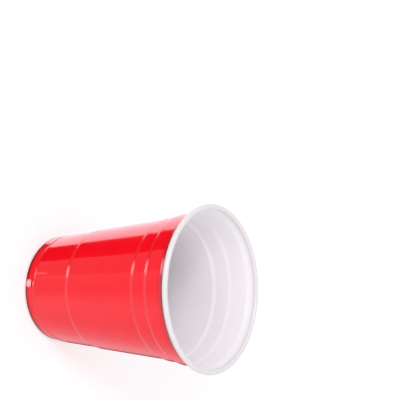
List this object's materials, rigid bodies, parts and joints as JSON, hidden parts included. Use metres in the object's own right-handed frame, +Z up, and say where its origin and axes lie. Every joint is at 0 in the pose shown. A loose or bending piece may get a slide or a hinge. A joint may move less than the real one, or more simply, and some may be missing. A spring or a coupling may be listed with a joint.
{
  "type": "plastic party cup",
  "caption": "Tapered disposable drinking cup in glossy red plastic, white inside, with a rolled lip, stepped ledges in the wall and a recessed base; it stands on its base ring and nests.",
  "frame": {"origin": "centre of the standing ring, in the plane the cup stands on", "axes": "+Z up along the cup's axis, from the base to the mouth; the cup is round, so X and Y are free"},
  "size_m": [0.097, 0.097, 0.119],
  "materials": {
    "red_plastic": "high gloss"
  },
  "bodies": {
    "root": {"cup": "red_plastic"}
  },
  "joints": []
}
